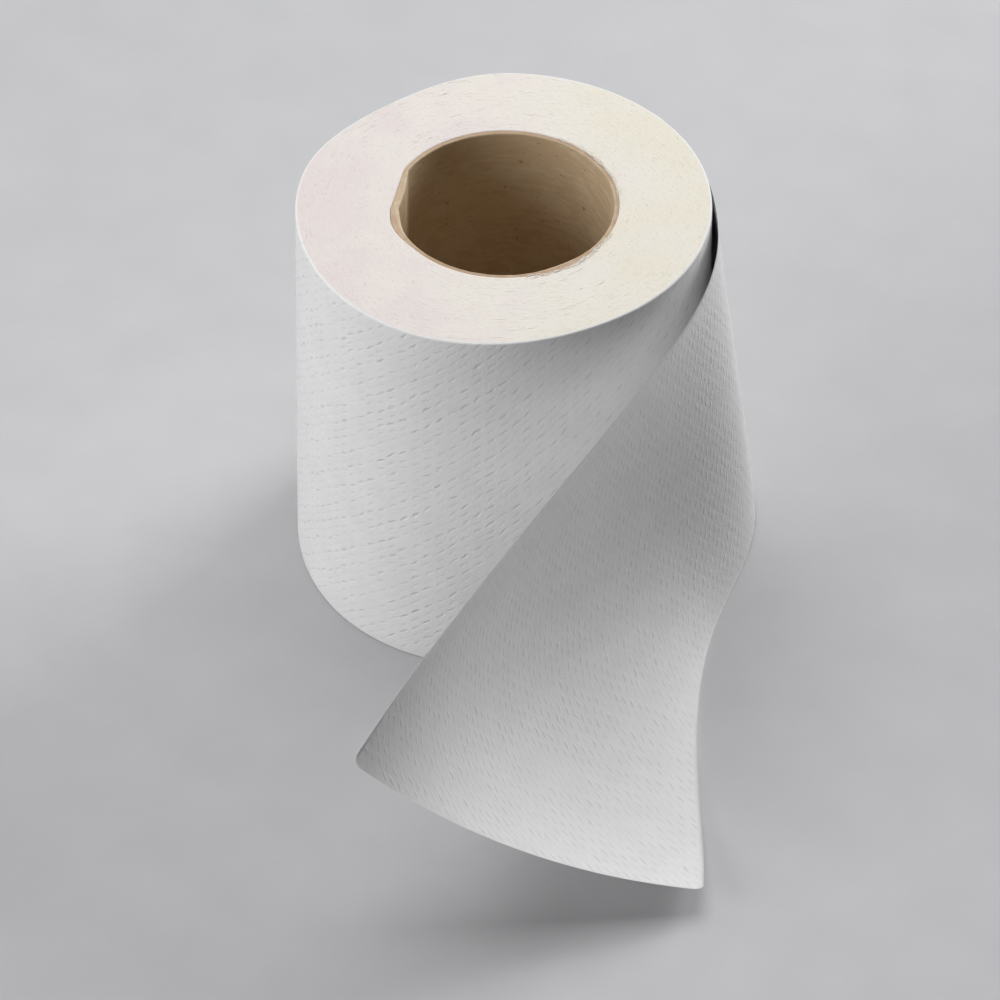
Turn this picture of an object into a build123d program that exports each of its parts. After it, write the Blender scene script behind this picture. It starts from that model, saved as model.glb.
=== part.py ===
from build123d import *
from math import cos, pi, radians, sin, tan
import os

# Toilet paper roll standing on its end, with a loose tail, in millimetres.
# The origin is on the axis of the cardboard core, on the floor, with +Z up. The tail runs
# out towards -Y. Bearings are in degrees, from +X towards +Y.

os.makedirs("parts", exist_ok=True)

# The roll: one web of creped tissue, as wide as the roll is high
roll_height = 100.0
roll_radius = 48.5
foot_flare = 0.9  # the lower turns stand a little wider than the upper ones
flat_depth = 2.6  # the roll was squeezed here
flat_bearing = 127.0
flat_spread = 40.0
swell_height = 2.9  # and the turns bulge here
swell_bearing = 243.0
swell_spread = 60.0
outline_arcs = 24
turn_steps = 6  # steps between groups of turns, on each end face
turn_drop = 0.08  # each group sits this much deeper than the next one out
outer_share = 0.75  # where the outermost group begins, on the way from the core to the wall

# The cardboard core. Its upper part stands a little wider, and is pinched along a crease
bore_radius = 25.7
core_wall = 1.0
mouth_widening = 0.15
widening_height = 2.0  # how far up the tube it takes to widen
winding_fit = 0.1  # room between the core and the first turn
crease_depth = 1.9
crease_bearing = 169.0
crease_start = 152.0  # bearings at which its two flats leave the round
crease_end = 184.0
crease_clear = 0.6  # how far outside the round it has moved where it has run out
flat_overrun = 1.5  # the flats are cut on past the round by this factor
pinched_length = 25.0  # where the crease has its full depth
fading_length = 30.0  # and where it runs out into the round tube below

# The loose tail, about two sheets long
sheet_thickness = 0.4
tail_leaves_at = 61.0  # bearing at which the web comes away from the wall
bedded_arc = 16.0  # how far its wound end runs on under the outer turn
tail_sunk = 0.5  # and how deep
edge_inset = 0.3  # room between its borders and the roll's end faces
corner_radius = 2.5
rib_count = 32


def polar(radius, bearing, height=0.0):
    """The point at this distance from the axis, in this direction."""
    return Vector(radius * cos(radians(bearing)), radius * sin(radians(bearing)), height)


def bump(bearing, centre, spread):
    """1 at its centre, falling smoothly to 0 at the spread on either side."""
    away = abs((bearing - centre + 180) % 360 - 180)
    return 0.5 * (1 + cos(pi * away / spread)) if away < spread else 0.0


def wall_radius(bearing, height):
    """Radius of the wound wall, out of round as the roll is."""
    flat = flat_depth * bump(bearing, flat_bearing, flat_spread)
    swell = swell_height * bump(bearing, swell_bearing, swell_spread)
    flare = foot_flare * (1 - height / roll_height)
    return roll_radius + flare - flat + swell


def turn_outline(height, share=1.0):
    """Face inside the wall at this height, or inside a turn at its share of the way out."""

    def on_turn(bearing):
        first_radius = core_radius + winding_fit
        radius = first_radius + (wall_radius(bearing, height) - first_radius) * share
        return polar(radius, bearing)

    arc = 360 / outline_arcs
    with BuildSketch() as outline:
        with BuildLine():
            for bearing in [k * arc for k in range(outline_arcs)]:
                ThreePointArc(on_turn(bearing), on_turn(bearing + arc / 2), on_turn(bearing + arc))
        make_face()
    return outline.sketch


def crease_waste(radius, moved_out=0.0):
    """Face outside the two flats that meet at the crease, moved out along its bearing."""
    outward = polar(1, crease_bearing)
    ridge = polar(radius - crease_depth, crease_bearing)
    leaving = [polar(radius, bearing) for bearing in (crease_start, crease_end)]
    flat_ends = [ridge + (point - ridge) * flat_overrun for point in leaving]
    beyond = [end + outward * radius for end in flat_ends]
    corners = [ridge, flat_ends[0], beyond[0], beyond[1], flat_ends[1]]
    with BuildSketch() as waste:
        with BuildLine():
            Polyline(*[corner + outward * moved_out for corner in corners], close=True)
        make_face()
    return waste.sketch


def core_form(radius):
    """Solid inside the core's outline: a cylinder below, a little wider and pinched above."""
    pinch_foot = roll_height - pinched_length
    fade_foot = pinch_foot - fading_length
    wide = radius + mouth_widening
    pinched = crease_waste(radius)
    run_out = crease_waste(radius, crease_depth + crease_clear)
    with BuildPart() as form:
        with BuildSketch(Plane.XZ):
            with BuildLine():
                Polyline(
                    (0, 0),
                    (radius, 0),
                    (radius, fade_foot),
                    (wide, fade_foot + widening_height),
                    (wide, roll_height),
                    (0, roll_height),
                    close=True,
                )
            make_face()
        revolve(axis=Axis.Z)
        with BuildSketch(Plane.XY.offset(fade_foot)):
            add(run_out)
        with BuildSketch(Plane.XY.offset(pinch_foot)):
            add(pinched)
        loft(ruled=True, mode=Mode.SUBTRACT)
        with BuildSketch(Plane.XY.offset(pinch_foot)):
            add(pinched)
        extrude(amount=pinched_length, mode=Mode.SUBTRACT)
    return form.part


# Core tube
core_radius = bore_radius + core_wall
tube_outside = core_form(core_radius)
tube_inside = core_form(bore_radius)
with BuildPart() as core_tube:
    add(tube_outside)
    add(tube_inside, mode=Mode.SUBTRACT)
core_tube.part.label = "core_tube"


# Loose tail. Three curves run along it, over its foot, belly and head. Their points are
# given from the roll's own radius and height, so the tail follows the roll's size.
def off_wall(stand_off, bearing, level):
    """A point of the tail: how far it stands off, its bearing, its share of the height."""
    return polar(roll_radius + stand_off, bearing, level * roll_height)


foot_points = [
    off_wall(7.2, 40, 0.003),
    off_wall(11.8, 20, 0.003),
    off_wall(11.9, 0, 0.003),
    off_wall(14.3, -37, 0.003),
    off_wall(39.4, -59, 0.005),
    off_wall(93.0, -71.5, 0.084),
]
belly_points = [
    off_wall(1.8, 37, 0.5),
    off_wall(4.2, 14, 0.5),
    off_wall(7.7, -9, 0.5),
    off_wall(11.0, -51, 0.46),
    off_wall(31.5, -79.5, 0.37),
    off_wall(90.0, -89, 0.25),
]
head_points = [
    off_wall(0.8, 34, 0.997),
    off_wall(1.6, 8, 0.988),
    off_wall(3.5, -18, 0.975),
    off_wall(18.0, -62, 0.94),
    off_wall(46.0, -87, 0.83),
    off_wall(98.5, -104, 0.56),
]


def tail_line(points, height):
    """Curve along the tail, from its bedded start, off the wall and out to its free end."""
    bedded = [tail_leaves_at + bedded_arc, tail_leaves_at + bedded_arc / 2]
    start = [polar(wall_radius(b, height) - tail_sunk, b, height) for b in bedded]
    with BuildLine() as line:
        Spline(*start, *points)
    return line.line


foot_line = tail_line(foot_points, edge_inset)
belly_line = tail_line(belly_points, roll_height / 2)
head_line = tail_line(head_points, roll_height - edge_inset)


def rib_frame(along):
    """Plane of one rib, its X from foot to head and its Y inward, its width and its pull."""
    foot, head = foot_line @ along, head_line @ along
    across = (head - foot).normalized()
    inward = (belly_line % along).cross(across).normalized()
    plane = Plane(origin=foot, x_dir=across, z_dir=across.cross(inward))
    return plane, (head - foot).length, 2 * plane.to_local_coords(belly_line @ along).Y


def rib(along):
    """Thin profile of the sheet, bowed from foot over belly to head."""
    plane, width, pull = rib_frame(along)
    with BuildSketch(plane) as profile:
        with BuildLine():
            outer = Bezier((0, 0), (width / 2, pull), (width, 0))
            inner = Bezier(
                (0, sheet_thickness),
                (width / 2, pull + sheet_thickness),
                (width, sheet_thickness),
            )
            Line(outer @ 0, inner @ 0)
            Line(outer @ 1, inner @ 1)
        make_face()
    return profile.sketch


def corner_waste(corner, back, aside):
    """Outside of the rounding at a free corner, between the edges that run back and aside."""
    opening = back.get_angle(aside)
    reach = corner_radius / tan(radians(opening / 2))
    with BuildSketch(Plane(origin=corner, x_dir=back, z_dir=back.cross(aside))) as waste:
        with BuildLine():
            arc = CenterArc((reach, corner_radius), corner_radius, -90, opening - 180)
            beyond = polar(-corner_radius, opening / 2)
            Line(arc @ 0, beyond)
            Line(beyond, arc @ 1)
        make_face()
    return waste.sketch


end_plane, end_width, end_pull = rib_frame(1)
up_the_end = end_plane.x_dir * (end_width / 2) + end_plane.y_dir * end_pull
down_the_end = end_plane.y_dir * end_pull - end_plane.x_dir * (end_width / 2)
ribs = [rib(i / (rib_count - 1)) for i in range(rib_count)]
corner_wastes = [
    corner_waste(foot_line @ 1, -(foot_line % 1), up_the_end),
    corner_waste(head_line @ 1, -(head_line % 1), down_the_end),
]
with BuildPart() as loose_tail:
    loft(ribs, ruled=True)
    for waste in corner_wastes:
        extrude(waste, amount=corner_radius, both=True, mode=Mode.SUBTRACT)

# Paper roll: the turns as one solid, with the tail that they run out into. The turns near
# the core sit a little deeper than the outer ones, so each end face goes down in steps.
wound_hole = core_form(core_radius + winding_fit)
with BuildPart() as paper_roll:
    with BuildSketch():
        add(turn_outline(0))
    with BuildSketch(Plane.XY.offset(roll_height)):
        add(turn_outline(roll_height))
    loft(ruled=True)
    for step in range(turn_steps):
        share = outer_share * (step + 1) / turn_steps
        depth = turn_drop * (turn_steps - step)
        for height, inward in ((0, depth), (roll_height, -depth)):
            with BuildSketch(Plane.XY.offset(height)):
                add(turn_outline(height, share))
            extrude(amount=inward, mode=Mode.SUBTRACT)
    add(wound_hole, mode=Mode.SUBTRACT)
    add(loose_tail.part)
paper_roll.part.label = "paper_roll"

export_step(core_tube.part, "parts/core_tube.step")
export_step(paper_roll.part, "parts/paper_roll.step")
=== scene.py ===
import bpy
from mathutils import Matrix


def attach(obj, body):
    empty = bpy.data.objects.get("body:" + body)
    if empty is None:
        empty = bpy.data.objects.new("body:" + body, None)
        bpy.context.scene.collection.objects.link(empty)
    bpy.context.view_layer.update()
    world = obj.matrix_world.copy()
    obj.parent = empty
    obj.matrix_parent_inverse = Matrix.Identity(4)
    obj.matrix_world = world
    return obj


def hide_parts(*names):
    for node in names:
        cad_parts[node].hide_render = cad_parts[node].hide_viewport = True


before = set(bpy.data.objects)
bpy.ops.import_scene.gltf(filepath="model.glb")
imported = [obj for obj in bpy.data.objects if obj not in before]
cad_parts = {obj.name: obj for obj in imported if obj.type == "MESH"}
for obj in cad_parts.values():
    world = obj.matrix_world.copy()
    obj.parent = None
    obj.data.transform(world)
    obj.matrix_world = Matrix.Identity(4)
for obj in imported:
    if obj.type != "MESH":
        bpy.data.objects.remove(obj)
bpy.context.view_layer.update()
print("nodes:", sorted(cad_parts))

# %% [markdown]
# # A toilet paper roll with a loose tail
#
# The object is one long web of creped tissue, wound on a cardboard core, standing on its
# end. The last two sheets hang loose, run forward over the floor and curl up. The packed
# model gives the frame: the origin is on the core's axis at the floor, +Z is up, and the
# tail runs out towards -Y. Everything here is worked out in millimetres and handed to
# Blender in metres.

# %% Imports and units
import math

import bpy
import numpy as np
from mathutils import Vector

MM = 0.001


def report(obj):
    """Prints what a piece is made of."""
    mesh = obj.data
    mesh.calc_loop_triangles()
    counts = f"{len(mesh.vertices)} points, {len(mesh.loop_triangles)} triangles"
    size = " x ".join(f"{side / MM:.1f}" for side in obj.dimensions)
    print(f"{obj.name}: {counts}, {size} mm")


# %% [markdown]
# ## Sizes
#
# The sheet's width is the roll's height. The wound wall isn't quite round: it was squeezed
# at the back left, bulges at the front left and a little at the left, and stands a little
# wider at the floor. The same values shape the wall, the end faces and the place where the
# tail leaves the wall.

# %% The roll's sizes
ROLL_HEIGHT = 100.0
ROLL_RADIUS = 48.5
FOOT_FLARE = 0.9
FLAT_DEPTH, FLAT_BEARING, FLAT_SPREAD = 2.6, 127.0, 40.0
SWELL_HEIGHT, SWELL_BEARING, SWELL_SPREAD = 2.9, 243.0, 60.0
SIDE_HEIGHT, SIDE_BEARING, SIDE_SPREAD = 0.6, 192.0, 45.0
CORE_RADIUS = 26.7
BORE_RADIUS = 25.7
WINDING_FIT = 0.1  # room between the core and the first turn


def bump(bearing, centre, spread):
    """1 at its centre, falling smoothly to 0 at the spread on either side."""
    away = np.abs((bearing - centre + 180.0) % 360.0 - 180.0)
    return np.where(away < spread, 0.5 + 0.5 * np.cos(np.pi * away / spread), 0.0)


def wall_radius(bearing, height):
    """Radius of the wound wall at a bearing in degrees and a height."""
    flat = FLAT_DEPTH * bump(bearing, FLAT_BEARING, FLAT_SPREAD)
    swell = SWELL_HEIGHT * bump(bearing, SWELL_BEARING, SWELL_SPREAD)
    side = SIDE_HEIGHT * bump(bearing, SIDE_BEARING, SIDE_SPREAD)
    return ROLL_RADIUS + FOOT_FLARE * (1.0 - height / ROLL_HEIGHT) - flat + swell + side


eighths = np.arange(0.0, 360.0, 45.0)
print("wall radius at the floor, every 45 degrees:", wall_radius(eighths, 0.0).round(1))

# %% [markdown]
# ## Meshes from grids
#
# Every paper surface here is a grid that follows a rule, so the pieces are built from arrays
# of points. A grid may close on itself in either direction. The flat coordinates of the
# paper are stored as a UV map in millimetres: the materials read them, so that the embossing
# follows the sheet wherever it bends.

# %% A mesh from a grid of points
def grid_faces(columns, rows, wrap_columns=False, wrap_rows=False):
    """Corners of a grid's quads, with its points numbered row by row in each column."""
    i = np.arange(columns if wrap_columns else columns - 1)
    j = np.arange(rows if wrap_rows else rows - 1)
    i, j = (a.ravel() for a in np.meshgrid(i, j, indexing="ij"))
    right, up = (i + 1) % columns, (j + 1) % rows
    return np.stack([i * rows + j, right * rows + j, right * rows + up, i * rows + up], axis=1)


def in_scene(name, data):
    """A new object with this data, put in the scene."""
    obj = bpy.data.objects.new(name, data)
    bpy.context.scene.collection.objects.link(obj)
    return obj


def mesh_piece(name, points, faces, materials, corner_uv=None, slots=None):
    """A smooth mesh object from points in millimetres, with one UV pair for each face corner."""
    mesh = bpy.data.meshes.new(name)
    mesh.from_pydata((points * MM).tolist(), [], faces.tolist())
    for material in materials:
        mesh.materials.append(material)
    if corner_uv is not None:
        layer = mesh.uv_layers.new(name="flat_mm")
        layer.data.foreach_set("uv", corner_uv.astype(np.float32).ravel())
    if slots is not None:
        mesh.polygons.foreach_set("material_index", slots.astype(np.int32))
    mesh.polygons.foreach_set("use_smooth", np.ones(len(mesh.polygons), dtype=bool))
    mesh.update()
    return in_scene(name, mesh)


open_quads, closed_quads = len(grid_faces(4, 3)), len(grid_faces(4, 3, True))
print(f"a grid of 4 by 3 points has {open_quads} quads, or {closed_quads} when it closes")

# %% [markdown]
# ## Colours and materials
#
# Tissue is bleached cellulose fibre: matt, faintly warm, and a little translucent. Its look
# comes from the crepe, a fine wrinkle across the web, and from the embossing, rows of short
# dashes pressed in by a steel roller so that the plies hold together. Colours are written as
# sRGB hex values, and one function turns them to the linear values that Blender mixes.
#
# One small function adds every node. It takes the node's inputs as one table, where a plain
# value is set, a socket is linked, and a node stands for its first output.

# %% Colour and node helpers
def linear(hex_colour):
    """Linear RGBA from an sRGB hex value."""
    channels = [int(hex_colour[i:i + 2], 16) / 255 for i in (1, 3, 5)]
    curved = [c / 12.92 if c <= 0.04045 else ((c + 0.055) / 1.055) ** 2.4 for c in channels]
    return curved + [1.0]


def fill(tree, made, inputs):
    """Sets a node's inputs, or links other nodes into them."""
    for key, value in inputs.items():
        if isinstance(value, bpy.types.Node):
            value = value.outputs[0]
        if isinstance(value, bpy.types.NodeSocket):
            tree.links.new(value, made.inputs[key])
        else:
            made.inputs[key].default_value = value


def node(tree, kind, inputs=None, **settings):
    """Adds a node, sets its properties and fills its inputs."""
    made = tree.nodes.new(kind)
    for key, value in settings.items():
        setattr(made, key, value)
    fill(tree, made, inputs or {})
    return made


def new_material(name):
    """An empty material with a Principled surface, its tree and that surface."""
    material = bpy.data.materials.new(name)
    material.use_nodes = True
    surface = material.node_tree.nodes["Principled BSDF"]
    return material, material.node_tree, surface


def set_stops(ramp_node, stops):
    """Gives a Color Ramp its stops, as (position, hex colour), and returns its colour."""
    elements = ramp_node.color_ramp.elements
    while len(elements) < len(stops):
        elements.new(0.5)
    for element, (position, colour) in zip(elements, stops):
        element.position = position
        element.color = linear(colour)
    return ramp_node.outputs["Color"]


print("mid grey #808080 is", round(linear("#808080")[0], 3), "in linear light")

# %% [markdown]
# ### Embossed tissue
#
# The dashes are short soft lenses, about 2.3 mm long and 0.6 mm wide where they are half as
# deep as in the middle, and all lean the same way. Down the web they stand in columns
# 2.85 mm apart, one every 5.1 mm, and each column is shifted by half against the next.
# Half-way between the strong dashes are fainter ones, from the other ply. The sheet's flat
# coordinates are turned into that lattice, where each dash sits in the middle of a unit
# cell, and back into millimetres around the dash. White Noise on the cell's number makes
# some dashes deeper than others and shifts them a little, as the worn steel roller does. The
# crepe is a fine noise of short wrinkles across the web.

# %% One ply's dashes
COLUMN_PITCH, DASH_RISE = 2.85, 2.55
DASH_LENGTH, DASH_WIDTH, DASH_LEAN = 4.0, 1.05, 42.0
DASH_SHIFT = 0.16  # the most that a dash is shifted, as a share of its cell
DASH_FLOOR = 0.15  # share of a dash that is flat at its full depth
FAINTEST_DASH = 0.3


def ply_dashes(tree, flat, shift):
    """Depth from 0 to 1 of one ply's dashes, whose lattice is shifted by a share of a cell."""
    across = math.sqrt(2)
    lattice = node(tree, "ShaderNodeMapping", {
        "Vector": flat, "Location": (shift, shift, 0.0),
        "Scale": (across / (2 * COLUMN_PITCH), across / (2 * DASH_RISE), 1.0),
        "Rotation": (0.0, 0.0, -math.pi / 4),
    })
    cell = node(tree, "ShaderNodeVectorMath", {0: lattice}, operation="FLOOR")
    chance = node(tree, "ShaderNodeTexWhiteNoise", {"Vector": cell}, noise_dimensions="2D")
    inside = node(tree, "ShaderNodeVectorMath", {0: lattice}, operation="FRACTION")
    shifted = node(tree, "ShaderNodeVectorMath", {
        0: chance.outputs["Color"], 1: (DASH_SHIFT, DASH_SHIFT, 0.0), 2: inside,
    }, operation="MULTIPLY_ADD")
    middle = 0.5 + DASH_SHIFT / 2
    centred = node(tree, "ShaderNodeVectorMath", {
        0: shifted, 1: (middle, middle, 0.0),
    }, operation="SUBTRACT")
    upright = node(tree, "ShaderNodeMapping", {
        "Vector": centred, "Rotation": (0.0, 0.0, math.pi / 4),
    })
    along_dash = node(tree, "ShaderNodeMapping", {
        "Vector": upright,
        "Scale": (across * COLUMN_PITCH, across * DASH_RISE, 0.0),
        "Rotation": (0.0, 0.0, -math.radians(DASH_LEAN)),
    })
    measured = node(tree, "ShaderNodeVectorMath", {
        0: along_dash, 1: (2 / DASH_LENGTH, 2 / DASH_WIDTH, 0.0),
    }, operation="MULTIPLY")
    away = node(tree, "ShaderNodeVectorMath", {0: measured}, operation="LENGTH").outputs["Value"]
    lens = node(tree, "ShaderNodeMapRange", {
        "Value": away, "From Min": 1.0, "From Max": DASH_FLOOR, "To Min": 0.0, "To Max": 1.0,
    }, interpolation_type="SMOOTHERSTEP")
    strength = node(tree, "ShaderNodeMapRange", {
        "Value": chance, "To Min": FAINTEST_DASH, "To Max": 1.0,
    })
    return node(tree, "ShaderNodeMath", {0: lens, 1: strength}, operation="MULTIPLY")


per_square = 10000 / (COLUMN_PITCH * DASH_RISE * 2)
print(f"dashes: {DASH_LENGTH} x {DASH_WIDTH} mm, {per_square:.0f} to each 100 mm square")

# %% Materials: creped and embossed tissue
WANDER_REACH = 1.6  # how far the rows of dashes wander, in mm
LEAST_PRESSURE = 0.55  # depth of the dashes where the steel roller is worn
CREPE_SCALE = (1.5, 0.55, 1.0)  # wrinkles to each mm, along the web and across it
CREPE_DEPTH = 0.2
PAPER_TONES = [(0.35, "#EFEFEF"), (0.65, "#F3F3F3")]
# Painted shade: the deeper a dash, the darker the paper's colour there
DASH_SHADE_TONES = [(0.0, "#FFFFFF"), (1.0, "#F2F2F3")]
FREE_TO, LYING_FROM = 130.0, 175.0  # distances from the free end, in mm
LIGHT_REACH = 1.4  # how far light spreads inside the sheet, in mm


def embossed_tissue(name, dash_depth, faint_ply, light_through):
    """Two-ply tissue: depth of its dashes, strength of the fainter ones, share of light let in."""
    material, tree, surface = new_material(name)
    flat = node(tree, "ShaderNodeUVMap", uv_map="flat_mm")
    wander = node(tree, "ShaderNodeTexNoise", {"Vector": flat, "Scale": 0.35, "Detail": 3.0})
    drawn = node(tree, "ShaderNodeVectorMath", {
        0: wander.outputs["Color"], 1: (WANDER_REACH, WANDER_REACH, 0.0), 2: flat,
    }, operation="MULTIPLY_ADD")
    faint, strong = ply_dashes(tree, drawn, 0.5), ply_dashes(tree, drawn, 0.0)
    plies = node(tree, "ShaderNodeMath", {
        0: faint, 1: faint_ply, 2: strong,
    }, operation="MULTIPLY_ADD")
    worn = node(tree, "ShaderNodeTexNoise", {"Vector": flat, "Scale": 0.16, "Detail": 3.0})
    pressure = node(tree, "ShaderNodeMapRange", {
        "Value": worn, "From Min": 0.35, "From Max": 0.65, "To Min": LEAST_PRESSURE, "To Max": 1.0,
    })
    depth = node(tree, "ShaderNodeMath", {0: plies, 1: pressure}, operation="MULTIPLY")
    stretched = node(tree, "ShaderNodeMapping", {"Vector": flat, "Scale": CREPE_SCALE})
    crepe = node(tree, "ShaderNodeTexNoise", {
        "Vector": stretched, "Scale": 1.0, "Detail": 4.0, "Roughness": 0.6,
    })
    pressed = node(tree, "ShaderNodeBump", {
        "Height": depth, "Strength": 1.0, "Distance": dash_depth * MM,
    }, invert=True)
    creped = node(tree, "ShaderNodeBump", {
        "Height": crepe, "Normal": pressed, "Strength": 0.3, "Distance": CREPE_DEPTH * MM,
    })
    cloud = node(tree, "ShaderNodeTexNoise", {"Vector": flat, "Scale": 0.12, "Detail": 3.0})
    paper = set_stops(node(tree, "ShaderNodeValToRGB", {"Fac": cloud}), PAPER_TONES)
    # Painted shade in the dashes, multiplied into the paper's colour
    dashes = set_stops(node(tree, "ShaderNodeValToRGB", {"Fac": depth}), DASH_SHADE_TONES)
    tint = node(tree, "ShaderNodeMix", {
        "Factor": 1.0, "A": paper, "B": dashes,
    }, data_type="RGBA", blend_type="MULTIPLY")
    fill(tree, surface, {
        "Base Color": tint.outputs["Result"], "Normal": creped,
        "Roughness": 0.95, "Specular IOR Level": 0.1,
    })
    if light_through:
        # Where the sheet still lies on the roll, no light comes through it
        from_end = node(tree, "ShaderNodeSeparateXYZ", {"Vector": flat}).outputs["X"]
        let_in = node(tree, "ShaderNodeMapRange", {
            "Value": from_end, "From Min": FREE_TO, "From Max": LYING_FROM,
            "To Min": light_through, "To Max": 0.0,
        })
        fill(tree, surface, {
            "Subsurface Weight": let_in, "Subsurface Radius": (1.0, 1.0, 1.0),
            "Subsurface Scale": LIGHT_REACH * MM,
        })
    return material


TISSUE = embossed_tissue("creped_embossed_tissue", 0.17, 0.5, 0.0)
LOOSE_TISSUE = embossed_tissue("loose_creped_embossed_tissue", 0.13, 0.8, 0.6)
print("materials:", TISSUE.name, LOOSE_TISSUE.name)

# %% [markdown]
# ### Slit edges
#
# The end faces are hundreds of slit paper edges side by side. From close by they are a soft
# felt of fine strokes along the turns, with a few tiny pits: the low places of the strokes are
# painted darker, which is painted shade. The strokes come from noise that is stretched around
# the axis: the direction from the axis is one coordinate and the distance from it the other,
# so there is no seam. The felt is a little pink at the left and yellow at the right.

# %% Material: slit edges of the wound tissue
STROKE_LENGTH, STROKE_WIDTH = 1.3, 0.45
STROKES_AT = 38.0  # radius at which the strokes have that length
STROKE_SHARE = 1.3  # how much more the strokes lift the felt than its fibres do
FELT_DEPTH = 0.2
SIDE_TINT = 0.35  # how far the tint moves along its stops, from the axis to the wall
FELT_TONES = [(0.2, "#EAE1DE"), (0.4, "#EDE6E1"), (0.6, "#EEE9E0"), (0.85, "#ECE7D8")]
# Painted shade: the low places of the strokes are darkened towards the first tone
PIT_SHADE_TONES = [(0.27, "#C9BFB4"), (0.42, "#FFFFFF")]


def from_axis(tree, place):
    """The place without its height, and its distance from the roll's axis."""
    level = node(tree, "ShaderNodeVectorMath", {
        0: place, 1: (1.0, 1.0, 0.0),
    }, operation="MULTIPLY")
    length = node(tree, "ShaderNodeVectorMath", {0: level}, operation="LENGTH")
    return level, length.outputs["Value"]


def slit_edges(name):
    """Felt of slit edges, with its strokes along the turns."""
    material, tree, surface = new_material(name)
    place = node(tree, "ShaderNodeTexCoord").outputs["Object"]
    level, distance = from_axis(tree, place)
    direction = node(tree, "ShaderNodeVectorMath", {0: level}, operation="NORMALIZE")
    around = node(tree, "ShaderNodeVectorMath", {
        0: direction, "Scale": STROKES_AT / STROKE_LENGTH,
    }, operation="SCALE")
    outward = node(tree, "ShaderNodeMath", {
        0: distance, 1: 1.0 / (STROKE_WIDTH * MM),
    }, operation="MULTIPLY")
    lifted = node(tree, "ShaderNodeCombineXYZ", {"Z": outward})
    along_turns = node(tree, "ShaderNodeVectorMath", {0: around, 1: lifted}, operation="ADD")
    strokes = node(tree, "ShaderNodeTexNoise", {
        "Vector": along_turns, "Scale": 1.0, "Detail": 4.0, "Roughness": 0.6,
    })
    fibres = node(tree, "ShaderNodeTexNoise", {
        "Vector": place, "Scale": 900.0, "Detail": 6.0, "Roughness": 0.7,
    })
    height = node(tree, "ShaderNodeMath", {
        0: strokes, 1: STROKE_SHARE, 2: fibres,
    }, operation="MULTIPLY_ADD")
    rough = node(tree, "ShaderNodeBump", {
        "Height": height, "Strength": 0.5, "Distance": FELT_DEPTH * MM,
    })
    patches = node(tree, "ShaderNodeTexNoise", {"Vector": place, "Scale": 60.0, "Detail": 4.0})
    sideways = node(tree, "ShaderNodeSeparateXYZ", {"Vector": place}).outputs["X"]
    side = node(tree, "ShaderNodeMath", {
        0: sideways, 1: SIDE_TINT / (ROLL_RADIUS * MM), 2: patches,
    }, operation="MULTIPLY_ADD")
    felt = set_stops(node(tree, "ShaderNodeValToRGB", {"Fac": side}), FELT_TONES)
    # Painted shade in the hollows of the felt, multiplied into its colour
    pits = set_stops(node(tree, "ShaderNodeValToRGB", {"Fac": strokes}), PIT_SHADE_TONES)
    shaded = node(tree, "ShaderNodeMix", {
        "Factor": 0.4, "A": felt, "B": pits,
    }, data_type="RGBA", blend_type="MULTIPLY")
    fill(tree, surface, {
        "Base Color": shaded.outputs["Result"], "Normal": rough,
        "Roughness": 1.0, "Specular IOR Level": 0.1,
    })
    return material


SLIT_EDGES = slit_edges("slit_tissue_edges")
print("material:", SLIT_EDGES.name)

# %% [markdown]
# ### Core board
#
# The core is wound from two strips of grey-brown recycled board. Its fibres lie around the
# tube, and a few dark specks of old print sit between them. The cut rim is lighter and
# rougher, palest at its inner edge and a little pink in its outer ply.

# %% Materials: recycled core board and its cut rim
FIBRE_SCALE = (260.0, 260.0, 900.0)  # streaks to each metre, around the tube and up it
CLOUD_SHARE = 0.8  # how much the soft clouds tint the board, next to its fibres
FIBRE_DEPTH = 0.15
SPECK_TONES = [(0.24, "#6A6058"), (0.28, "#FFFFFF")]
BOARD_TONES = [(0.6, "#C0A888"), (0.9, "#C8B191"), (1.0, "#CFBB9D")]
RIM_TONES = [(0.6, "#C6B19B"), (0.9, "#CEBCA6"), (1.0, "#D7C8B4")]
PLY_TONES = [(0.0, "#FFFBF2"), (0.35, "#F0E8DC"), (0.7, "#EFE2D8"), (1.0, "#F3E3DB")]


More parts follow.
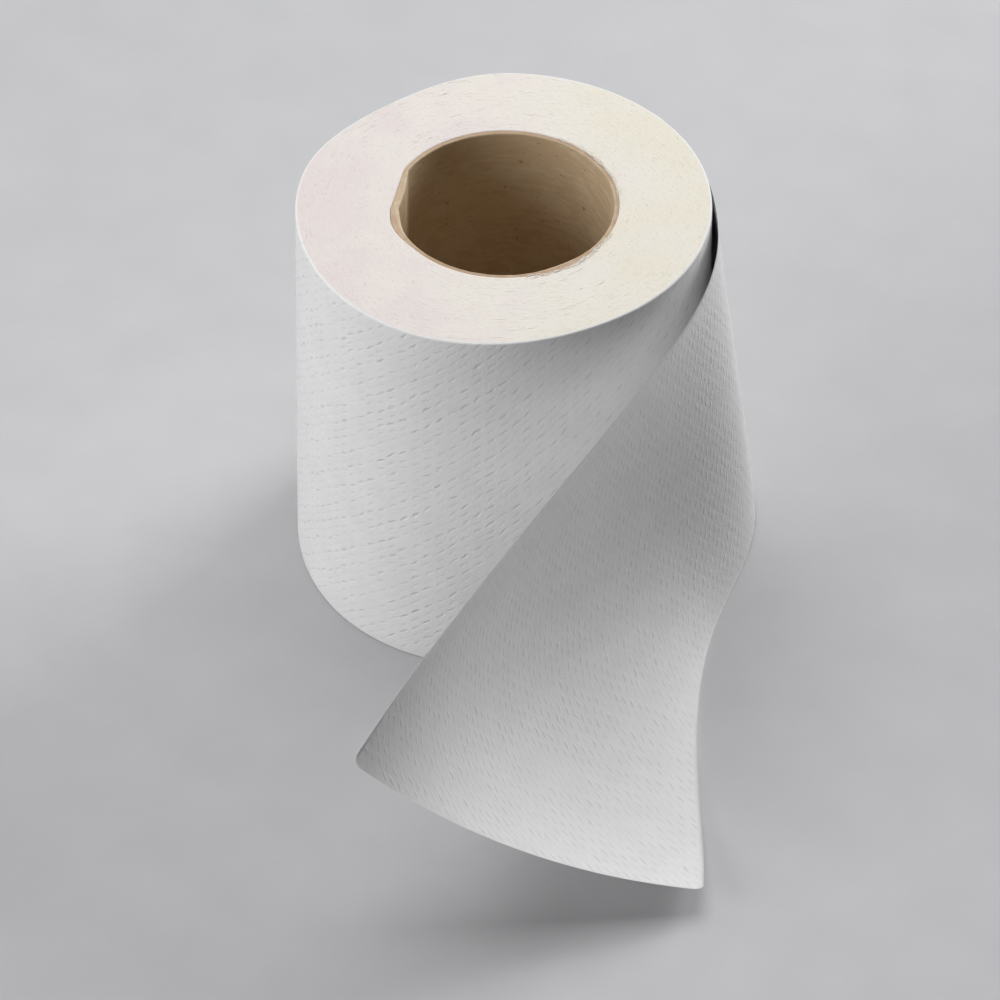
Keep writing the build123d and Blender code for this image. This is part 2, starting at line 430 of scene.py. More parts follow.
def core_board(name, board_stops, speck_strength, ply_stops=None):
    """Recycled board with its fibres around the tube, and a tint for each ply of a cut rim."""
    material, tree, surface = new_material(name)
    place = node(tree, "ShaderNodeTexCoord").outputs["Object"]
    along_fibre = node(tree, "ShaderNodeMapping", {"Vector": place, "Scale": FIBRE_SCALE})
    fibre = node(tree, "ShaderNodeTexNoise", {
        "Vector": along_fibre, "Scale": 1.0, "Detail": 6.0, "Roughness": 0.65,
    })
    cloud = node(tree, "ShaderNodeTexNoise", {"Vector": place, "Scale": 60.0, "Detail": 3.0})
    both = node(tree, "ShaderNodeMath", {
        0: cloud, 1: CLOUD_SHARE, 2: fibre,
    }, operation="MULTIPLY_ADD")
    board = set_stops(node(tree, "ShaderNodeValToRGB", {"Fac": both}), board_stops)
    specks = node(tree, "ShaderNodeTexNoise", {"Vector": place, "Scale": 760.0, "Detail": 1.0})
    dark = set_stops(node(tree, "ShaderNodeValToRGB", {"Fac": specks}), SPECK_TONES)
    colour = node(tree, "ShaderNodeMix", {
        "Factor": speck_strength, "A": board, "B": dark,
    }, data_type="RGBA", blend_type="MULTIPLY").outputs["Result"]
    if ply_stops:
        _, distance = from_axis(tree, place)
        across_rim = node(tree, "ShaderNodeMapRange", {
            "Value": distance, "From Min": BORE_RADIUS * MM, "From Max": CORE_RADIUS * MM,
        })
        plies = set_stops(node(tree, "ShaderNodeValToRGB", {"Fac": across_rim}), ply_stops)
        colour = node(tree, "ShaderNodeMix", {
            "Factor": 1.0, "A": colour, "B": plies,
        }, data_type="RGBA", blend_type="MULTIPLY").outputs["Result"]
    rough = node(tree, "ShaderNodeBump", {
        "Height": fibre, "Strength": 0.3, "Distance": FIBRE_DEPTH * MM,
    })
    fill(tree, surface, {
        "Base Color": colour, "Normal": rough, "Roughness": 0.9, "Specular IOR Level": 0.2,
    })
    return material


BOARD = core_board("recycled_core_board", BOARD_TONES, 0.45)
RIM_BOARD = core_board("cut_core_board", RIM_TONES, 0.2, PLY_TONES)
print("materials:", BOARD.name, RIM_BOARD.name)

# %% [markdown]
# ## The core's outline
#
# The cardboard tube was pinched: above its round lower part, two flats meet in a sharp
# crease at the left. The board folded there and came apart into its plies, so the rim is
# thicker beside the crease, and also where it tore at the front right. The outside is pushed
# in less than the inside.

# %% The crease
CREASE_BEARING, CREASE_START, CREASE_END = 169.0, 152.0, 184.0
OUTER_CREASE, INNER_CREASE = 1.0, 1.9
PINCHED_LENGTH, FADING_LENGTH = 25.0, 30.0
FOLD_SWELL, FOLD_BEARING, FOLD_SPREAD = 0.75, 199.0, 20.0
INNER_FOLD, INNER_FOLD_BEARING = 1.1 * FOLD_SWELL, FOLD_BEARING - 12.0
TORN_SWELL, TORN_BEARING, TORN_SPREAD = 0.35, 300.0, 22.0
RIM_REACH = 12.0  # how far down from the rim the board is thicker
NEARLY_ZERO = 1e-9


def unit(bearing):
    return np.stack([np.cos(np.radians(bearing)), np.sin(np.radians(bearing))], axis=-1)


def creased_radius(radius, depth, bearing, height):
    """Radius of the core's outline: two flats that meet at the crease, fading out below."""
    bearing = np.asarray(bearing, dtype=float) % 360.0
    fade_foot = ROLL_HEIGHT - PINCHED_LENGTH - FADING_LENGTH
    share = np.clip((height - fade_foot) / FADING_LENGTH, 0.0, 1.0)
    ridge = (radius - depth) * unit(CREASE_BEARING)
    found = np.full(bearing.shape, float(radius))
    ray = unit(bearing)
    for edge in (CREASE_START, CREASE_END):
        low, high = sorted((edge, CREASE_BEARING))
        start = radius * unit(edge)
        along = ridge - start
        crossed = along[0] * ray[..., 1] - along[1] * ray[..., 0]
        crossed = np.where(np.abs(crossed) < NEARLY_ZERO, NEARLY_ZERO, crossed)
        reach = (along[0] * start[1] - along[1] * start[0]) / crossed
        found = np.where((bearing >= low) & (bearing <= high), reach, found)
    return radius + (found - radius) * share


def rim_share(height):
    """1 at the upper rim, falling to 0 over the length where the board is thicker."""
    return np.clip((height - ROLL_HEIGHT + RIM_REACH) / RIM_REACH, 0.0, 1.0) ** 2


def core_outside(bearing, height):
    fold = FOLD_SWELL * bump(bearing, FOLD_BEARING, FOLD_SPREAD)
    torn = TORN_SWELL * bump(bearing, TORN_BEARING, TORN_SPREAD)
    thicker = (fold + torn) * rim_share(height)
    return creased_radius(CORE_RADIUS, OUTER_CREASE, bearing, height) + thicker


def core_inside(bearing, height):
    fold = INNER_FOLD * bump(bearing, INNER_FOLD_BEARING, FOLD_SPREAD)
    torn = TORN_SWELL * bump(bearing, TORN_BEARING, TORN_SPREAD)
    thicker = (fold + torn) * rim_share(height)
    return creased_radius(BORE_RADIUS, INNER_CREASE, bearing, height) - thicker


at_crease = (CREASE_BEARING, ROLL_HEIGHT)
print("board thickness at the crease:", float(core_outside(*at_crease) - core_inside(*at_crease)))

# %% [markdown]
# ## The wound turns
#
# One closed form: the wall, the two end faces and the hole for the core. Its cross-section
# is a loop of points from the bottom of the wall up, over the rounded top edge, inward over
# the end face, down the hole and back out underneath. Sweeping that loop through all
# bearings gives the body, and the wall's radius law makes it out of round.

# %% The turns' body
TAIL_LEAVES_AT = 61.0  # bearing at which the web comes away from the wall
TAIL_LENGTH = 210.0
BEARING_STEPS = 512
EDGE_ROUND, EDGE_STEPS = 0.45, 6
WALL_ROWS, HOLE_ROWS = 46, 14
UPPER_RINGS, LOWER_RINGS = 70, 40


def cross_section():
    """The loop of points, each as its kind of surface, its share or inset, and its height."""
    corner = np.radians(np.linspace(0.0, 90.0, EDGE_STEPS))
    near = [EDGE_ROUND * (1 - np.sin(a)) for a in corner]
    far = [EDGE_ROUND * (1 - np.cos(a)) for a in corner]
    wall = np.linspace(EDGE_ROUND, ROLL_HEIGHT - EDGE_ROUND, WALL_ROWS)
    loop = [("wall", inset, h) for inset, h in zip(near[:-1], far[:-1])]
    loop += [("wall", 0.0, h) for h in wall]
    loop += [("wall", inset, ROLL_HEIGHT - drop) for inset, drop in zip(far[1:], near[1:])]
    loop += [("end", s, ROLL_HEIGHT) for s in np.linspace(1.0, 0.0, UPPER_RINGS)[1:]]
    loop += [("hole", 0.0, h) for h in np.linspace(ROLL_HEIGHT, 0.0, HOLE_ROWS)[1:]]
    loop += [("end", s, 0.0) for s in np.linspace(0.0, 1.0, LOWER_RINGS)[1:-1]]
    return loop


def turns_body():
    """The wound turns as one closed grid, with the wall's flat coordinates."""
    bearings = TAIL_LEAVES_AT + np.arange(BEARING_STEPS) * 360.0 / BEARING_STEPS
    loop = cross_section()
    points = np.zeros((BEARING_STEPS, len(loop), 3))
    for j, (kind, value, height) in enumerate(loop):
        inner = core_outside(bearings, height) + WINDING_FIT
        outer = wall_radius(bearings, height)
        on_end = inner + (outer - EDGE_ROUND - inner) * value
        radius = {"wall": outer - value, "hole": inner, "end": on_end}[kind]
        points[:, j, :2] = radius[:, None] * unit(bearings)
        points[:, j, 2] = height
    faces = grid_faces(BEARING_STEPS, len(loop), True, True)
    # Flat coordinates: u counts up from the tail's free end, v is the height
    column = np.arange(BEARING_STEPS + 1)
    u = TAIL_LENGTH + column * math.radians(360.0 / BEARING_STEPS) * ROLL_RADIUS
    v = np.array([height for _, _, height in loop])
    i, j = np.divmod(faces[:, 0], len(loop))
    i_next, j_next = i + 1, (j + 1) % len(loop)
    corners = ((i, j), (i_next, j), (i_next, j_next), (i, j_next))
    corner_uv = np.stack([np.stack([u[a], v[b]], axis=-1) for a, b in corners], axis=1)
    kinds = np.array([kind for kind, _, _ in loop])
    slots = (kinds[j] == "end") | (kinds[j_next] == "end")
    return mesh_piece(
        "wound_turns", points.reshape(-1, 3), faces, (TISSUE, SLIT_EDGES), corner_uv, slots
    )


wound_turns = turns_body()
report(wound_turns)

# %% [markdown]
# ## The turns on the end faces
#
# Slitting leaves each turn's edge standing a little higher or lower than its neighbours, so
# the end faces show faint broken lines that run around with the turns. Geometry Nodes repeat
# one outline of the core through all the turns: each copy lies at its share of the way to
# the wall, wanders a little up and down, and gets a thin diamond section that is mostly sunk
# in the end face. Real turns are 0.15 mm thick, which is too fine to show, so each line here
# stands for a few of them.

# %% Helpers for geometry trees
def geometry_tree(name, numbers):
    """An empty tree with a geometry input, a material input and named number inputs."""
    tree = bpy.data.node_groups.new(name, "GeometryNodeTree")
    tree.interface.new_socket("Geometry", in_out="INPUT", socket_type="NodeSocketGeometry")
    for number, value in numbers.items():
        kind = "NodeSocketInt" if isinstance(value, int) else "NodeSocketFloat"
        tree.interface.new_socket(number, in_out="INPUT", socket_type=kind).default_value = value
    tree.interface.new_socket("Material", in_out="INPUT", socket_type="NodeSocketMaterial")
    tree.interface.new_socket("Geometry", in_out="OUTPUT", socket_type="NodeSocketGeometry")
    return tree, tree.nodes.new("NodeGroupInput").outputs


def finish_tree(tree, result, given):
    """Ends a tree with real geometry, smooth faces and its material."""
    real = node(tree, "GeometryNodeRealizeInstances", {"Geometry": result})
    smooth = node(tree, "GeometryNodeSetShadeSmooth", {"Geometry": real})
    finished = node(tree, "GeometryNodeSetMaterial", {
        "Geometry": smooth, "Material": given["Material"],
    })
    node(tree, "NodeGroupOutput", {"Geometry": finished})


def grow(guide, tree, numbers, material):
    """Runs a tree on a guide object and turns the result into the object's own plain mesh."""
    modifier = guide.modifiers.new(tree.name, "NODES")
    modifier.node_group = tree
    for item in tree.interface.items_tree:
        if item.in_out == "INPUT" and item.name in numbers:
            modifier[item.identifier] = numbers[item.name]
        if item.in_out == "INPUT" and item.name == "Material":
            modifier[item.identifier] = material
    evaluated = guide.evaluated_get(bpy.context.evaluated_depsgraph_get())
    mesh = bpy.data.meshes.new_from_object(evaluated)
    guide.modifiers.remove(modifier)
    guide.data = mesh
    mesh.name = guide.name
    report(guide)
    return guide


def guide_object(name, points, edges):
    """An object of points in millimetres, joined by edges."""
    mesh = bpy.data.meshes.new(name)
    mesh.from_pydata([tuple(p * MM) for p in points], edges, [])
    return in_scene(name, mesh)


# %% Tree: lines along the turns
TURN_LINES = {
    "Lines": 40, "Line Width": 0.5 * MM, "Line Height": 0.14 * MM,
    "Wander": 0.25 * MM, "Sunk": 0.06 * MM, "Seed": 3.0,
}
FIRST_LINE = 0.6  # how far the first line lies from the core, as a share of the lines' pitch
SEED_STEP = 7.3  # how far apart two lines read the noise


def turn_lines_tree():
    """Repeats an outline from the core to the wall as thin wandering lines."""
    tree, given = geometry_tree("turn_lines", TURN_LINES)
    outline = node(tree, "GeometryNodeMeshToCurve", {"Mesh": given["Geometry"]})
    repeated = node(tree, "GeometryNodeDuplicateElements", {
        "Geometry": outline, "Amount": given["Lines"],
    }, domain="SPLINE")
    turn = repeated.outputs["Duplicate Index"]
    counted = node(tree, "ShaderNodeMath", {0: turn, 1: FIRST_LINE}, operation="ADD")
    share = node(tree, "ShaderNodeMath", {0: counted, 1: given["Lines"]}, operation="DIVIDE")
    start = node(tree, "GeometryNodeInputPosition")
    wall = node(tree, "GeometryNodeInputNamedAttribute", {
        "Name": "wall_place",
    }, data_type="FLOAT_VECTOR")
    place = node(tree, "ShaderNodeMix", {
        0: share, 4: start, 5: wall,
    }, data_type="VECTOR").outputs[1]
    seeded = node(tree, "ShaderNodeMath", {
        0: turn, 1: SEED_STEP, 2: given["Seed"],
    }, operation="MULTIPLY_ADD")
    chance = node(tree, "ShaderNodeTexNoise", {
        "Vector": place, "W": seeded, "Scale": 260.0, "Detail": 2.0,
    }, noise_dimensions="4D")
    swing = node(tree, "ShaderNodeMath", {0: chance, 1: 0.5}, operation="SUBTRACT")
    rise = node(tree, "ShaderNodeMath", {0: swing, 1: given["Wander"]}, operation="MULTIPLY")
    # Inward is up at the lower end face and down at the upper one
    height = node(tree, "ShaderNodeSeparateXYZ", {"Vector": start}).outputs["Z"]
    upper = node(tree, "ShaderNodeMath", {
        0: height, 1: ROLL_HEIGHT / 2 * MM,
    }, operation="GREATER_THAN")
    inward = node(tree, "ShaderNodeMath", {0: upper, 1: -2.0, 2: 1.0}, operation="MULTIPLY_ADD")
    sunk = node(tree, "ShaderNodeMath", {
        0: inward, 1: given["Sunk"], 2: rise,
    }, operation="MULTIPLY_ADD")
    lift = node(tree, "ShaderNodeCombineXYZ", {"Z": sunk})
    moved = node(tree, "GeometryNodeSetPosition", {
        "Geometry": repeated, "Position": place, "Offset": lift,
    })
    level = node(tree, "GeometryNodeSetCurveNormal", {"Curve": moved}, mode="Z_UP")
    half = node(tree, "ShaderNodeMath", {0: given["Line Height"], 1: 2.0}, operation="DIVIDE")
    section = node(tree, "GeometryNodeCurvePrimitiveQuadrilateral", {
        "Width": given["Line Width"], "Bottom Height": half, "Top Height": half,
    }, mode="KITE")
    line = node(tree, "GeometryNodeCurveToMesh", {"Curve": level, "Profile Curve": section})
    finish_tree(tree, line, given)
    return tree


# %% The lines' guide
LINE_POINTS = 240


def end_loops(name):
    """Outlines of the core at both ends. Each point holds its place on the wall as well."""
    bearings = np.arange(0.0, 360.0, 360.0 / LINE_POINTS)
    starts, ends, edges = [], [], []
    for height in (ROLL_HEIGHT, 0.0):
        first = len(starts)
        core = (core_outside(bearings, height) + WINDING_FIT)[:, None] * unit(bearings)
        wall = (wall_radius(bearings, height) - EDGE_ROUND)[:, None] * unit(bearings)
        level = np.full(LINE_POINTS, height)
        starts += list(np.column_stack([core, level]))
        ends += list(np.column_stack([wall, level]))
        edges += [(first + k, first + (k + 1) % LINE_POINTS) for k in range(LINE_POINTS)]
    guide = guide_object(name, starts, edges)
    wall_place = guide.data.attributes.new("wall_place", "FLOAT_VECTOR", "POINT")
    wall_place.data.foreach_set("vector", (np.array(ends) * MM).astype(np.float32).ravel())
    return guide


turn_lines = grow(end_loops("turn_lines"), turn_lines_tree(), TURN_LINES, SLIT_EDGES)
heights = np.array([v.co.z for v in turn_lines.data.vertices]) / MM
above, below = heights.max() - ROLL_HEIGHT, -heights.min()
print(f"the lines reach {above:.2f} mm above and {below:.2f} mm below the end faces")

# %% [markdown]
# ## The loose tail
#
# Three curves run along the tail, over its foot, its belly and its head, through nearly the
# same points as the solid model's: the head's lie closer to the wall, where the sheet leaves
# it. Between the curves, each rib across the sheet is a parabola. The sheet is two plies
# thick, thins out towards its borders, where the slitting knife pressed the plies together,
# and its two free corners are rounded.

# %% Curves along the tail
BEDDED_ARC = 16.0  # how far the tail's wound end runs on under the outer turn
TAIL_SUNK = 0.5  # and how deep
EDGE_INSET = 0.3  # room between its borders and the roll's end faces
# Each point: how far it stands off the wall, its bearing, its share of the height
FOOT_POINTS = [
    (7.2, 40, 0.003), (11.8, 20, 0.003), (11.9, 0, 0.003),
    (14.3, -37, 0.003), (39.4, -59, 0.005), (94.0, -71.3, 0.077),
]
BELLY_POINTS = [
    (1.8, 37, 0.5), (4.2, 14, 0.5), (7.7, -9, 0.5),
    (11.0, -51, 0.46), (31.5, -79.5, 0.37), (90.4, -88.7, 0.243),
]
HEAD_POINTS = [
    (0.12, 38, 0.997), (0.12, 9, 0.996), (2.9, -15, 0.982),
    (18.0, -62, 0.94), (46.0, -87, 0.83), (98.2, -103.6, 0.551),
]
FINE_STEPS = 2000


def polar(radius, bearing, height):
    return np.array([*(radius * unit(bearing)), height])


def natural_spline(points, shares):
    """Points at the given shares of the length of a smooth curve through all the points."""
    points = np.asarray(points, dtype=float)
    knots = np.concatenate([[0.0], np.cumsum(np.linalg.norm(np.diff(points, axis=0), axis=1))])
    gaps = np.diff(knots)
    slopes = np.diff(points, axis=0) / gaps[:, None]
    count = len(points)
    matrix, right = np.zeros((count, count)), np.zeros((count, 3))
    matrix[0, :3] = gaps[1], -(gaps[0] + gaps[1]), gaps[0]
    matrix[-1, -3:] = gaps[-1], -(gaps[-2] + gaps[-1]), gaps[-2]
    for k in range(1, count - 1):
        matrix[k, k - 1:k + 2] = gaps[k - 1], 2 * (gaps[k - 1] + gaps[k]), gaps[k]
        right[k] = 6 * (slopes[k] - slopes[k - 1])
    bend = np.linalg.solve(matrix, right)

    def curve(at):
        k = np.clip(np.searchsorted(knots, at, side="right") - 1, 0, count - 2)
        before, after = (at - knots[k])[:, None], (knots[k + 1] - at)[:, None]
        gap = gaps[k][:, None]
        cubic = (bend[k] * after ** 3 + bend[k + 1] * before ** 3) / (6 * gap)
        low = (points[k] / gap - bend[k] * gap / 6) * after
        high = (points[k + 1] / gap - bend[k + 1] * gap / 6) * before
        return cubic + low + high

    fine = np.linspace(0.0, knots[-1], FINE_STEPS)
    steps = np.linalg.norm(np.diff(curve(fine), axis=0), axis=1)
    length = np.concatenate([[0.0], np.cumsum(steps)])
    return curve(np.interp(shares * length[-1], length, fine)), length[-1]


def tail_line(points, height, shares):
    """Curve along the tail, from its bedded start, off the wall and out to its free end."""
    bedded = [TAIL_LEAVES_AT + BEDDED_ARC, TAIL_LEAVES_AT + BEDDED_ARC / 2]
    wound = [polar(wall_radius(b, height) - TAIL_SUNK, b, height) for b in bedded]
    hanging = [polar(ROLL_RADIUS + off, b, level * ROLL_HEIGHT) for off, b, level in points]
    return natural_spline(wound + hanging, shares)


# The ribs stand closer and closer over the last share of the length, where the corners round
LAST_SHARE, LAST_RIBS, OTHER_RIBS = 0.015, 30, 330
ALONG = np.concatenate([
    np.linspace(0.0, 1.0 - LAST_SHARE, OTHER_RIBS),
    1.0 - LAST_SHARE * np.linspace(1.0, 0.0, LAST_RIBS + 1)[1:] ** 2,
])
foot_line, foot_length = tail_line(FOOT_POINTS, EDGE_INSET, ALONG)
belly_line, belly_length = tail_line(BELLY_POINTS, ROLL_HEIGHT / 2, ALONG)
head_line, head_length = tail_line(HEAD_POINTS, ROLL_HEIGHT - EDGE_INSET, ALONG)
lengths = [round(float(length)) for length in (foot_length, belly_length, head_length)]
print("lengths along foot, belly and head, in mm:", lengths)

# %% The sheet's two faces
POINTS_ACROSS = 90
SHEET_THICKNESS = 0.24
CORNER_RADIUS = 2.5
BORDER_THICKNESS, BORDER_WIDTH = 0.05, 1.2


def tail_sheet():
    """Outer and inner face of the sheet, each rib's distance from the free end, and its shares."""
    pull = (belly_line - (foot_line + head_line) / 2) * 4
    width = np.linalg.norm(head_line - foot_line, axis=1)
    run = np.linalg.norm(np.diff(belly_line, axis=0), axis=1)
    from_end = np.concatenate([np.cumsum(run[::-1])[::-1], [0.0]])
    # Near the free end, each rib draws in from the two borders by the rounding of the corners
    into_corner = np.clip(CORNER_RADIUS - from_end, 0.0, CORNER_RADIUS)
    inset = (CORNER_RADIUS - np.sqrt(CORNER_RADIUS ** 2 - into_corner ** 2)) / width
    inset = inset[:, None]
    share = inset + (1 - 2 * inset) * np.linspace(0.0, 1.0, POINTS_ACROSS)[None]
    outer = (
        foot_line[:, None] * (1 - share)[..., None] + head_line[:, None] * share[..., None]
        + pull[:, None] * (share * (1 - share))[..., None]
    )
    inward = np.cross(np.gradient(outer, axis=0), np.gradient(outer, axis=1))
    inward /= np.linalg.norm(inward, axis=2, keepdims=True)
    to_border = np.minimum(share - inset, 1 - inset - share) * width[:, None]
    to_border = np.minimum(to_border, from_end[:, None])
    full = np.clip(to_border / BORDER_WIDTH, 0.0, 1.0)
    thickness = BORDER_THICKNESS + (SHEET_THICKNESS - BORDER_THICKNESS) * full * (2 - full)
    return outer, outer + inward * thickness[..., None], from_end, share


outer_face, inner_face, from_end, share_across = tail_sheet()
print("the tail reaches out to y =", round(float(outer_face[..., 1].min()), 1), "mm")

# %% The tail's mesh
# The web isn't pulled straight: its cross direction leans back more and more up the tail
LEAN_GROWTH, LEAN_LENGTH = 0.5, 130.0


def tail_piece(outer, inner, from_end, share):
    """A closed thin sheet from its two faces."""
    columns, rows = outer.shape[:2]
    count = columns * rows
    points = np.concatenate([outer.reshape(-1, 3), inner.reshape(-1, 3)])
    front = grid_faces(columns, rows)
    back = front[:, ::-1] + count
    border = np.concatenate([
        np.arange(rows), rows * np.arange(1, columns) + rows - 1,
        (columns - 1) * rows + np.arange(rows - 2, -1, -1), rows * np.arange(columns - 2, 0, -1),
    ])
    following = np.roll(border, -1)
    rim = np.stack([following, border, border + count, following + count], axis=1)
    faces = np.concatenate([front, back, rim])
    v = share * ROLL_HEIGHT
    lean = LEAN_GROWTH * np.clip(from_end / LEAN_LENGTH, 0.0, 1.0)[:, None]
    u = from_end[:, None] + lean * (v - ROLL_HEIGHT / 2)
    corner_uv = np.stack([u.ravel(), v.ravel()], axis=1)[faces % count]
    return mesh_piece("loose_tail", points, faces, (LOOSE_TISSUE,), corner_uv)


loose_tail = tail_piece(outer_face, inner_face, from_end, share_across)
report(loose_tail)

# %% [markdown]
# ## The cardboard core
#
# The solid model's tube has the right shape, so a finer copy is built on the same outline.
# Its rim is cut a little unevenly, has a groove between its two plies, and is thicker where
# the board folded and tore.

# %% The core tube
TUBE_STEPS = 480
NEAR_RIM = 97.0  # the rows lie closer above this height
RAGGED = 0.12
WAVES, WAVE_FADE, FULL_TURN = range(3, 90), 0.6, 6.28
# Rows over the rim: share of the way in, drop, seed of the uneven cut
RIM_ROWS = [(0.06, 0.03, 4), (0.3, 0.0, 5), (0.48, 0.16, 6), (0.6, 0.02, 7), (0.85, 0.0, 8)]
INNER_DROP = 0.1  # how much lower the rim's inner edge is


def ragged_edge(steps, seed):
    """An uneven cut around the rim, from waves with seeded heights."""
    rng = np.random.default_rng(seed)
    turn = np.linspace(0.0, 2 * np.pi, steps, endpoint=False)
    cut = sum(
        rng.normal() / n ** WAVE_FADE * np.cos(n * turn + rng.uniform(0.0, FULL_TURN))
        for n in WAVES
    )
    return RAGGED * cut / np.abs(cut).max()


def core_piece():
    """The tube as one closed grid, from its outside over the rim and down its inside."""
    bearings = np.arange(TUBE_STEPS) * 360.0 / TUBE_STEPS
    heights = np.concatenate([
        np.linspace(0.0, NEAR_RIM - 1.0, 33), np.linspace(NEAR_RIM, ROLL_HEIGHT - RAGGED, 8),
    ])
    level = np.zeros(TUBE_STEPS)
    # Each row: its radius and its height all the way around, and its material slot
    rows = [(core_outside(bearings, h), h + level, 0) for h in heights]
    outside, inside = core_outside(bearings, ROLL_HEIGHT), core_inside(bearings, ROLL_HEIGHT)
    for share, drop, seed in RIM_ROWS:
        cut = ROLL_HEIGHT - drop + ragged_edge(TUBE_STEPS, seed)
        rows.append((outside + (inside - outside) * share, cut, 1))
    for h in heights[::-1]:
        drop = INNER_DROP if h > ROLL_HEIGHT - 1.0 else 0.0
        rows.append((core_inside(bearings, h), h - drop + level, 0))
    circles = [np.column_stack([r[:, None] * unit(bearings), z]) for r, z, _ in rows]
    faces = grid_faces(TUBE_STEPS, len(rows), True, True)
    j = faces[:, 0] % len(rows)
    kinds = np.array([kind for _, _, kind in rows])
    slots = kinds[j] | kinds[(j + 1) % len(rows)]
    points = np.stack(circles, axis=1).reshape(-1, 3)
    return mesh_piece("core_board_tube", points, faces, (BOARD, RIM_BOARD), slots=slots)


core_board_tube = core_piece()
report(core_board_tube)

# %% [markdown]
# ## Shreds at the rim
#
# The first turn is glued to the core. Where the slitting knife passed, it leaves short curled
# shreds of tissue around the rim, most of them in two places at the right. Geometry Nodes
# put points on a guide along the rim, scatter them a little, and set one small curved shred
# on each, turned and sized at random from a fixed seed.

# %% Tree: shreds along a guide
RIM_SHREDS = {
    "Shreds": 90, "Length": 1.5 * MM, "Width": 0.16 * MM, "Scatter": 0.5 * MM, "Seed": 5,
}
CURL = 0.35  # how far a shred bows, as a share of half its length
WIDTH_TO_THICKNESS = 4.0
MOST_TURN = (0.2, 0.2, 0.5)  # in radians, either way
SMALLEST, LARGEST = 0.35, 1.15


def rim_shreds_tree():
    """Scatters small curved shreds along a guide curve."""
    tree, given = geometry_tree("rim_shreds", RIM_SHREDS)
    guide = node(tree, "GeometryNodeMeshToCurve", {"Mesh": given["Geometry"]})
    spread = node(tree, "GeometryNodeCurveToPoints", {
        "Curve": guide, "Count": given["Shreds"],
    }, mode="COUNT")
    aside = node(tree, "ShaderNodeCombineXYZ", {"X": given["Scatter"], "Y": given["Scatter"]})
    back = node(tree, "ShaderNodeVectorMath", {0: aside, "Scale": -1.0}, operation="SCALE")
    offset = node(tree, "FunctionNodeRandomValue", {
        0: back, 1: aside, "Seed": given["Seed"],
    }, data_type="FLOAT_VECTOR")
    scattered = node(tree, "GeometryNodeSetPosition", {"Geometry": spread, "Offset": offset})
    half = node(tree, "ShaderNodeMath", {0: given["Length"], 1: 2.0}, operation="DIVIDE")
    back_half = node(tree, "ShaderNodeMath", {0: half, 1: -1.0}, operation="MULTIPLY")
    curl = node(tree, "ShaderNodeMath", {0: half, 1: CURL}, operation="MULTIPLY")
    bow = node(tree, "GeometryNodeCurveQuadraticBezier", {
        "Resolution": 6,
        "Start": node(tree, "ShaderNodeCombineXYZ", {"X": back_half}),
        "Middle": node(tree, "ShaderNodeCombineXYZ", {"Y": curl, "Z": curl}),
        "End": node(tree, "ShaderNodeCombineXYZ", {"X": half}),
    })
    thin = node(tree, "ShaderNodeMath", {
        0: given["Width"], 1: WIDTH_TO_THICKNESS,
    }, operation="DIVIDE")
    section = node(tree, "GeometryNodeCurvePrimitiveQuadrilateral", {
        "Width": given["Width"], "Height": thin,
    }, mode="RECTANGLE")
    shred = node(tree, "GeometryNodeCurveToMesh", {
        "Curve": bow, "Profile Curve": section, "Fill Caps": True,
    })
    turned = node(tree, "FunctionNodeRandomValue", {
        0: [-most for most in MOST_TURN], 1: MOST_TURN, "Seed": given["Seed"],
    }, data_type="FLOAT_VECTOR")
    along_rim = node(tree, "FunctionNodeAlignEulerToVector", {
        "Vector": spread.outputs["Tangent"],
    }, axis="X")
    rotation = node(tree, "FunctionNodeRotateEuler", {
        0: along_rim, 1: turned,
    }, rotation_type="EULER", space="LOCAL")
    size = node(tree, "FunctionNodeRandomValue", {
        2: SMALLEST, 3: LARGEST, "Seed": given["Seed"],
    }, data_type="FLOAT").outputs[1]
    placed = node(tree, "GeometryNodeInstanceOnPoints", {
        "Points": scattered, "Instance": shred, "Rotation": rotation, "Scale": size,
    })
    finish_tree(tree, placed, given)
    return tree


# %% The shreds' guide
SHRED_STRETCHES = [(8.0, 62.0), (282.0, 335.0)]  # bearings from and to
STRETCH_POINTS = 24
OUTSIDE_RIM, ABOVE_RIM = 0.45, 0.05


def rim_stretches(name):
    """An object of open stretches of points just outside the rim."""
    points, edges = [], []
    for low, high in SHRED_STRETCHES:
        first = len(points)
        bearings = np.linspace(low, high, STRETCH_POINTS)
        radius = core_outside(bearings, ROLL_HEIGHT) + OUTSIDE_RIM
        level = np.full(STRETCH_POINTS, ROLL_HEIGHT + ABOVE_RIM)
        points += list(np.column_stack([radius[:, None] * unit(bearings), level]))
        edges += [(first + k, first + k + 1) for k in range(STRETCH_POINTS - 1)]
    return guide_object(name, points, edges)


rim_shreds = grow(rim_stretches("rim_shreds"), rim_shreds_tree(), RIM_SHREDS, SLIT_EDGES)

# %% [markdown]
# ## What rides on what
#
# Nothing on a toilet roll moves against anything else, so every piece rides on the one body.

# %% Bodies
for piece, slot, cad_node in (
    (wound_turns, "tissue", "paper_roll"),
    (turn_lines, "tissue", "paper_roll"),
    (rim_shreds, "tissue", "paper_roll"),
    (loose_tail, "tissue", "paper_roll"),
    (core_board_tube, "core_board", "core_tube"),
):
    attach(piece, "root")
    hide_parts(cad_node)

# %% [markdown]
# ## Studio
#
# A plain pale floor and four wide soft lamps: one above and a little behind, two at the left,
# and one at the back right, which lights the loose tail from behind. No lamp stands straight
# in front, so the front of the roll is in soft shade, which lets the embossing show.

# %% Floor
FLOOR_REACH = 3.0  # in metres
FLOOR_SEEN = [(0.3, "#C4C4C6"), (0.7, "#C8C8CA")]
FLOOR_THROWN = "#8A8A8C"


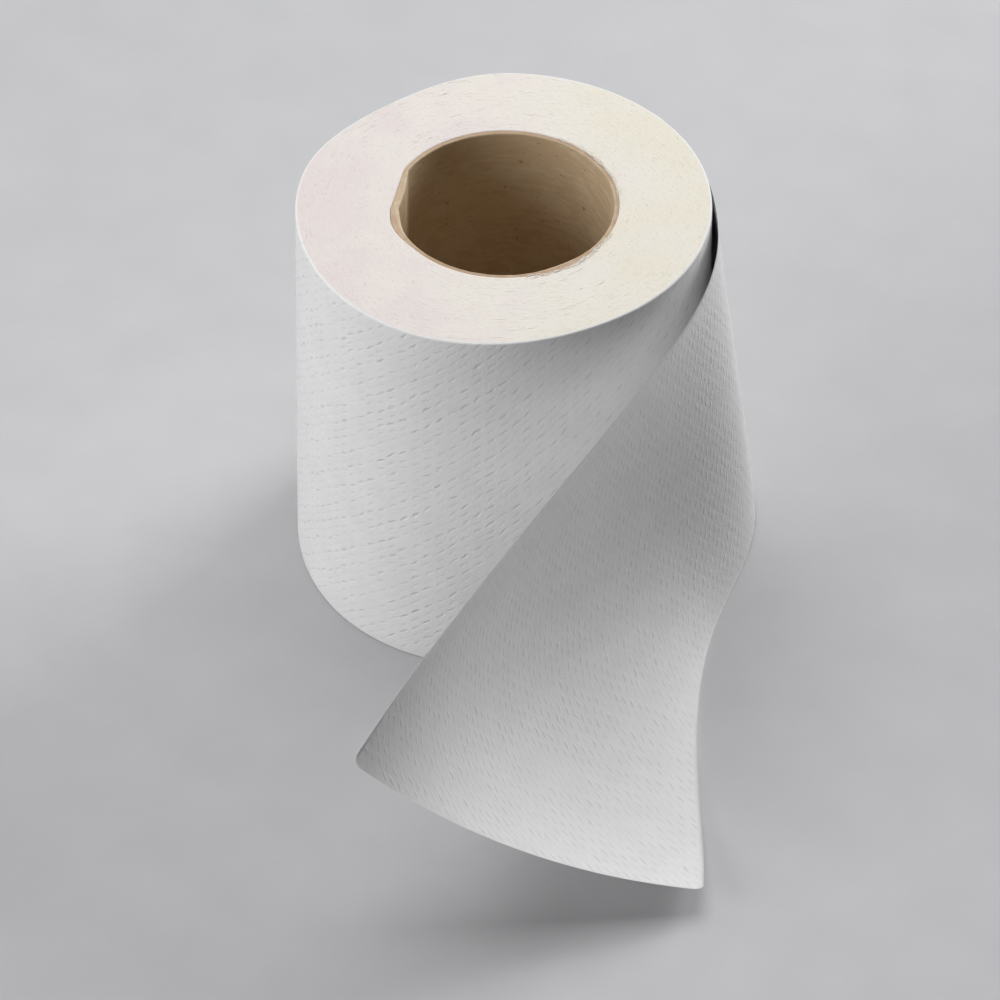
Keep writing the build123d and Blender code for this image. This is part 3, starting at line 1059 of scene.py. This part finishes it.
def studio_floor():
    """A wide matt floor, a little darker to the object than to the camera."""
    mesh = bpy.data.meshes.new("studio_floor")
    corners = [(-1, -1, 0), (1, -1, 0), (1, 1, 0), (-1, 1, 0)]
    mesh.from_pydata([Vector(c) * FLOOR_REACH for c in corners], [], [(0, 1, 2, 3)])
    material, tree, surface = new_material("matt_studio_floor")
    seen = node(tree, "ShaderNodeLightPath").outputs["Is Camera Ray"]
    grain = node(tree, "ShaderNodeTexNoise", {"Scale": 300.0, "Detail": 3.0})
    pale = set_stops(node(tree, "ShaderNodeValToRGB", {"Fac": grain}), FLOOR_SEEN)
    tint = node(tree, "ShaderNodeMix", {
        "Factor": seen, "A": linear(FLOOR_THROWN), "B": pale,
    }, data_type="RGBA")
    fill(tree, surface, {
        "Base Color": tint.outputs["Result"], "Roughness": 0.9, "Specular IOR Level": 0.1,
    })
    mesh.materials.append(material)
    return in_scene("studio_floor", mesh)


floor = studio_floor()
print("floor:", floor.data.materials[0].name)

# %% Lamps
AIM = (0.0, -0.03, 0.05)
# Each lamp: its name, its place and its size in metres, its power in watts
LAMPS = [
    ("top_lamp", (0.0, 0.25, 1.1), (0.9, 0.9), 7.1),
    ("left_lamp", (-1.1, 0.05, 0.45), (0.8, 0.9), 2.9),
    ("left_front_lamp", (-0.95, -0.6, 0.4), (0.7, 0.8), 7.1),
    ("right_back_lamp", (0.85, 0.75, 0.5), (0.6, 0.8), 11.8),
]
ALL_ROUND = 0.02  # strength of the even light from everywhere


def soft_lamp(name, place, size, power):
    """A rectangular soft lamp, turned to face the object."""
    data = bpy.data.lights.new(name, "AREA")
    data.shape = "RECTANGLE"
    data.size, data.size_y = size
    data.energy = power
    lamp = in_scene(name, data)
    lamp.location = place
    lamp.rotation_euler = (Vector(AIM) - Vector(place)).to_track_quat("-Z", "Y").to_euler()


for lamp_values in LAMPS:
    soft_lamp(*lamp_values)
world = bpy.data.worlds.new("studio")
bpy.context.scene.world = world
world.use_nodes = True
background = world.node_tree.nodes["Background"]
fill(world.node_tree, background, {"Color": linear("#FFFFFF"), "Strength": ALL_ROUND})

# %% [markdown]
# ## Camera
#
# The photograph was taken from far away with a long lens, looking down by about 41 degrees.

# %% Camera
PICTURE = 1000  # side of the square picture, in pixels
LENS, SENSOR = 324.0, 36.0
DISTANCE, ELEVATION = 2137.2, 41.03
TARGET = (-0.42, -1.32, ROLL_HEIGHT / 2)
SEEN_AT = (502.97, 368.46)  # pixel where the target shows
FAR_CLIP = 20.0
down = math.radians(ELEVATION)
focal = LENS / SENSOR * PICTURE
tilt = math.degrees(math.atan2(PICTURE / 2 - SEEN_AT[1], focal))
turn = math.degrees(math.atan2(SEEN_AT[0] - PICTURE / 2, focal)) / math.cos(down)
camera_data = bpy.data.cameras.new("camera")
camera_data.lens, camera_data.sensor_width = LENS, SENSOR
camera_data.clip_end = FAR_CLIP
camera = in_scene("camera", camera_data)
back = np.array([0.0, -math.cos(down), math.sin(down)])
camera.location = (np.array(TARGET) + back * DISTANCE) * MM
camera.rotation_euler = (math.radians(90 - ELEVATION - tilt), 0.0, math.radians(turn))
bpy.context.scene.camera = camera
bpy.context.scene.view_settings.view_transform = "Standard"
print("camera at", [round(v, 3) for v in camera.location])
